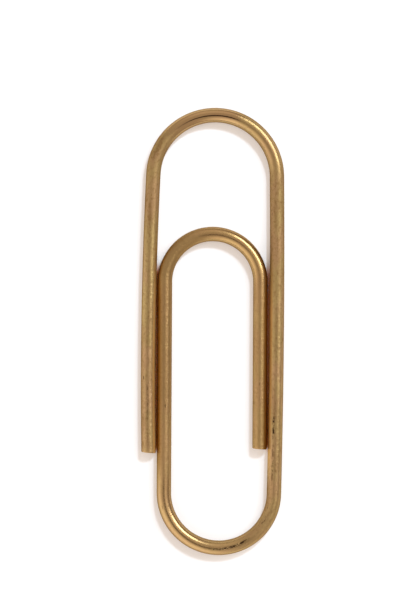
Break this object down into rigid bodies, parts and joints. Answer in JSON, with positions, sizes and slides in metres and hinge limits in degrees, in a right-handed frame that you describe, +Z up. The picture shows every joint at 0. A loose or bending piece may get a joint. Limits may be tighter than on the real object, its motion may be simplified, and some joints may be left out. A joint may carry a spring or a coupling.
{
  "type": "paper clip",
  "caption": "Flat paper clip bent from round brass rod, with an outer loop and an inner tongue that springs up to grip sheets between them.",
  "frame": {"origin": "centre of the outline, on the table that the clip lies on", "axes": "+Y along the legs, from the bottom bend to the top bend; +Z up from the table; +X towards the outer long leg"},
  "size_m": [0.0544, 0.17, 0.0055],
  "materials": {
    "drawn_brass": "drawn round brass rod, unlacquered, satin with lengthwise draw marks and light tarnish"
  },
  "bodies": {
    "outer_long_leg": {"outer_long_leg": "drawn_brass"},
    "outer_free_leg": {"outer_free_leg": "drawn_brass"},
    "inner_long_leg": {"inner_long_leg": "drawn_brass"},
    "inner_free_leg": {"inner_free_leg": "drawn_brass"}
  },
  "joints": [
    {"name": "top_bend_flex", "type": "hinge", "parent": "outer_long_leg", "child": "outer_free_leg", "pos_m": [0.00066, 0.08225, 0.00275], "axis": [-1, 0, 0], "range_deg": [0, 7], "stiffness_Nm_per_rad": 41},
    {"name": "bottom_bend_flex", "type": "hinge", "parent": "outer_long_leg", "child": "inner_long_leg", "pos_m": [0.00272, -0.08225, 0.00275], "axis": [1, 0, 0], "range_deg": [0, 9], "stiffness_Nm_per_rad": 37},
    {"name": "inner_bend_flex", "type": "hinge", "parent": "inner_long_leg", "child": "inner_free_leg", "pos_m": [-0.00006, 0.03705, 0.00275], "axis": [-1, 0, 0], "range_deg": [0, 5], "stiffness_Nm_per_rad": 57}
  ]
}
